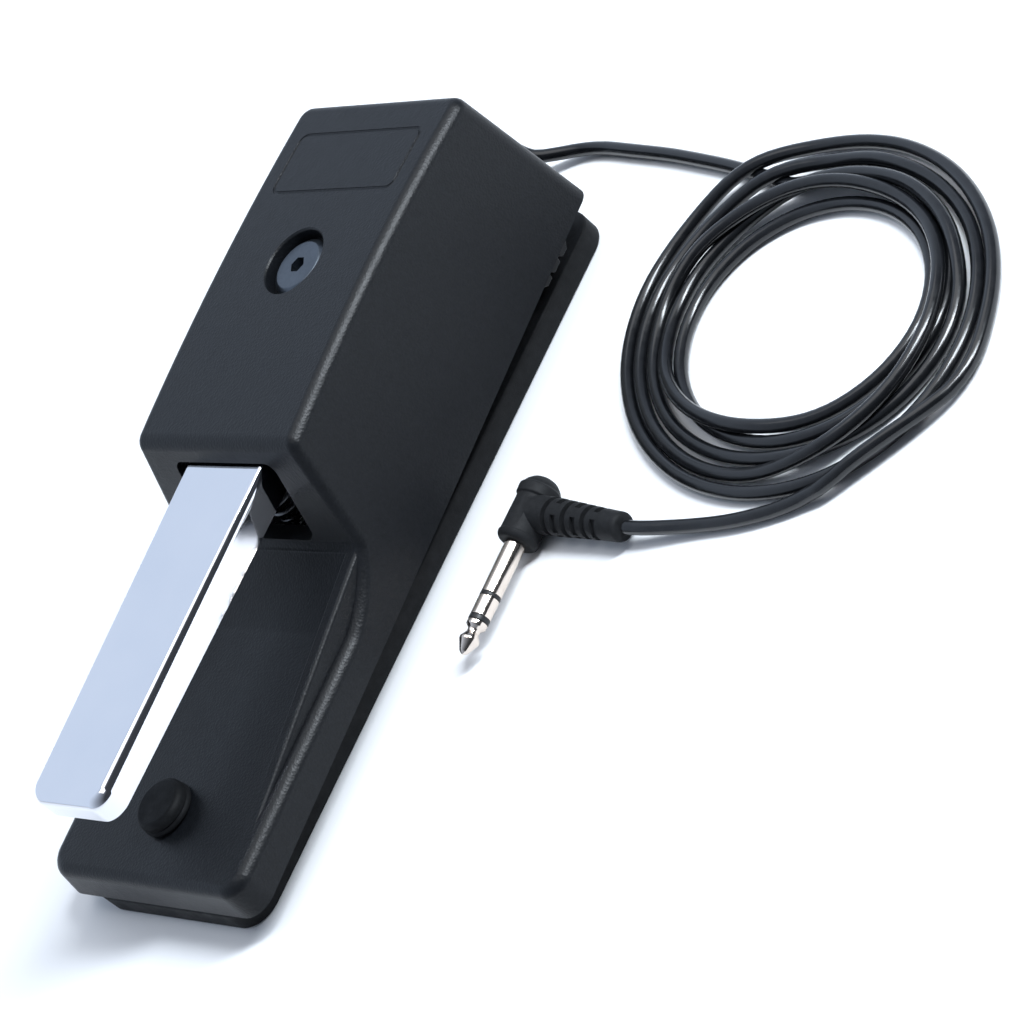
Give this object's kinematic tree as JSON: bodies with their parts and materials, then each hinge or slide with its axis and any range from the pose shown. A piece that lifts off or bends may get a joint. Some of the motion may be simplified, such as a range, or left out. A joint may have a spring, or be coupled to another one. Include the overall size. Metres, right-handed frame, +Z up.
{
  "type": "sustain pedal",
  "caption": "Foot pedal with a sprung chrome lever in a plastic housing, a fold-out rubber flap, a mode switch and a coiled cable ending in a right-angle plug.",
  "frame": {"origin": "on the floor, under the middle of the housing's outline", "axes": "+Y runs from the pedal's front edge to the rear wall, +X is the player's right, +Z is up"},
  "size_m": [0.268, 0.2732, 0.0702],
  "materials": {
    "black_plastic": "fine-grained moulded",
    "chrome_plate": "mirror plated",
    "rubber": "matt",
    "zinc_steel": "zinc plated",
    "screw_steel": "satin dark nickel",
    "white_nylon": "natural",
    "felt": "pressed wool",
    "cable_sheath": "smooth, slightly glossy",
    "nickel_contact": "nickel plated",
    "circuit_board": "solder resist"
  },
  "bodies": {
    "housing": {"housing": "black_plastic", "rest_stop_block": "black_plastic", "position_sensor": "black_plastic", "mode_switch": "black_plastic", "cord_clamp": "black_plastic", "plug_body": "black_plastic", "plug_insulator_rear": "black_plastic", "plug_insulator_front": "black_plastic", "rubber_bumper": "rubber", "rear_foot_right": "rubber", "rear_foot_left": "rubber", "front_pad_right": "rubber", "front_pad_left": "rubber", "flap_hinge_web": "rubber", "strain_relief": "rubber", "chassis": "zinc_steel", "base_screw_front_right": "zinc_steel", "base_screw_front_left": "zinc_steel", "base_screw_rear_right": "zinc_steel", "base_screw_rear_left": "zinc_steel", "screw_post": "zinc_steel", "pivot_shaft": "zinc_steel", "pivot_clip_right": "zinc_steel", "pivot_clip_left": "zinc_steel", "return_spring": "zinc_steel", "board_standoff_right": "zinc_steel", "board_standoff_left": "zinc_steel", "flap_clamp_bar": "zinc_steel", "top_screw": "screw_steel", "pivot_bush_right": "white_nylon", "pivot_bush_left": "white_nylon", "spring_seat_lower": "white_nylon", "board_connector": "white_nylon", "rest_stop_felt": "felt", "inner_lead": "cable_sheath", "cable_lead": "cable_sheath", "cable_coil": "cable_sheath", "cable_tail": "cable_sheath", "plug_sleeve": "nickel_contact", "plug_ring": "nickel_contact", "plug_tip": "nickel_contact", "circuit_board": "circuit_board"},
    "lever": {"pedal_lever": "chrome_plate", "lever_core": "black_plastic", "lever_hub": "zinc_steel", "sector_gear": "white_nylon", "spring_seat_upper": "white_nylon"},
    "sensor": {"sensor_pinion": "white_nylon", "sensor_shaft": "zinc_steel"},
    "knob": {"mode_switch_knob": "black_plastic"},
    "flap": {"rubber_flap": "rubber"}
  },
  "joints": [
    {"name": "lever_press", "type": "hinge", "parent": "housing", "child": "lever", "pos_m": [0, 0.0275, 0.044], "axis": [1, 0, 0], "range_deg": [0, 8.7], "stiffness_Nm_per_rad": 8, "springref_deg": -8.59, "deforming": ["return_spring"]},
    {"name": "sensor_turn", "type": "hinge", "parent": "housing", "child": "sensor", "pos_m": [0, 0.0535, 0.0336], "axis": [1, 0, 0], "range_deg": [-40, 5]},
    {"name": "mode_slide", "type": "slide", "parent": "housing", "child": "knob", "axis": [0, 1, 0], "range_m": [0, 0.003]},
    {"name": "flap_fold", "type": "hinge", "parent": "housing", "child": "flap", "pos_m": [0, -0.1223, 0.00835], "axis": [-1, 0, 0], "range_deg": [0, 180]}
  ],
  "couplings": [
    {"joint": "sensor_turn", "follows": "lever_press", "ratio": -3.6667}
  ]
}
